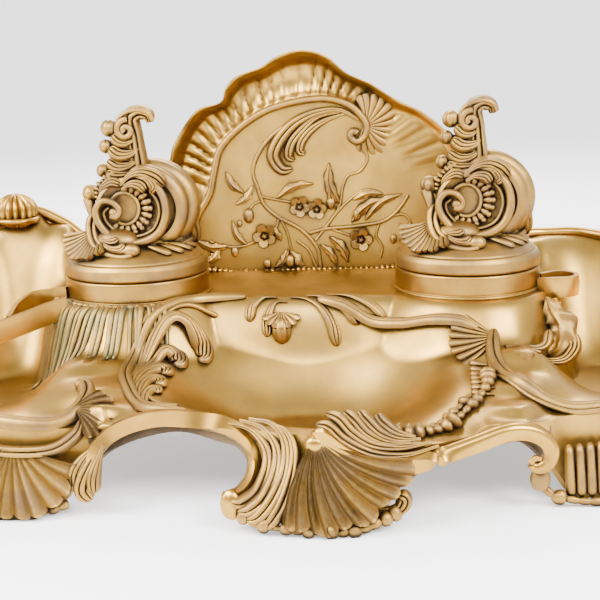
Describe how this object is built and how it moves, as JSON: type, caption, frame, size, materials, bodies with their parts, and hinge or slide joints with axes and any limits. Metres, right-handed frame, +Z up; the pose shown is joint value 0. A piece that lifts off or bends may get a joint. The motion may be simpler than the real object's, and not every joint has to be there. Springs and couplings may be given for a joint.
{
  "type": "inkwell",
  "caption": "Rocaille desk inkstand in gilt bronze: a footed tray with a pen dish between lidded ink pots under scrolled finials, and a tall shell-shaped plate behind.",
  "frame": {"origin": "on the desk under the middle of the tray", "axes": "+Z up, front of the inkstand towards -Y, +X to the right as seen from the front"},
  "size_m": [0.37, 0.2038, 0.183],
  "materials": {
    "gilt_tray": "gilt, burnished on the plain fields and matt in the chasing",
    "gilt_feet": "gilt, matt chased",
    "gilt_plate": "gilt, burnished",
    "gilt_collar": "gilt, turned satin",
    "gilt_lid": "gilt, matt chased",
    "gilt_finial": "gilt, matt chased",
    "pot_glass": "clear pressed glass",
    "brass_screws": "turned, dull"
  },
  "bodies": {
    "stand": {"tray": "gilt_tray", "front_centre_foot": "gilt_feet", "front_left_foot": "gilt_feet", "front_right_foot": "gilt_feet", "back_left_foot": "gilt_feet", "back_right_foot": "gilt_feet", "back_plate": "gilt_plate", "back_plate_screws": "brass_screws", "left_collar": "gilt_collar", "left_collar_screws": "brass_screws", "right_collar": "gilt_collar", "right_collar_screws": "brass_screws"},
    "left_pot": {"left_ink_pot": "pot_glass"},
    "left_cover": {"left_lid": "gilt_lid", "left_finial": "gilt_finial", "left_finial_screw": "brass_screws"},
    "right_pot": {"right_ink_pot": "pot_glass"},
    "right_cover": {"right_lid": "gilt_lid", "right_finial": "gilt_finial", "right_finial_screw": "brass_screws"}
  },
  "joints": [
    {"name": "left_pot_lift", "type": "slide", "parent": "stand", "child": "left_pot", "axis": [0, 0, 1], "range_m": [0, 0.06]},
    {"name": "left_cover_lift", "type": "slide", "parent": "left_pot", "child": "left_cover", "axis": [0, 0, 1], "range_m": [0, 0.1]},
    {"name": "right_pot_lift", "type": "slide", "parent": "stand", "child": "right_pot", "axis": [0, 0, 1], "range_m": [0, 0.06]},
    {"name": "right_cover_lift", "type": "slide", "parent": "right_pot", "child": "right_cover", "axis": [0, 0, 1], "range_m": [0, 0.1]}
  ]
}
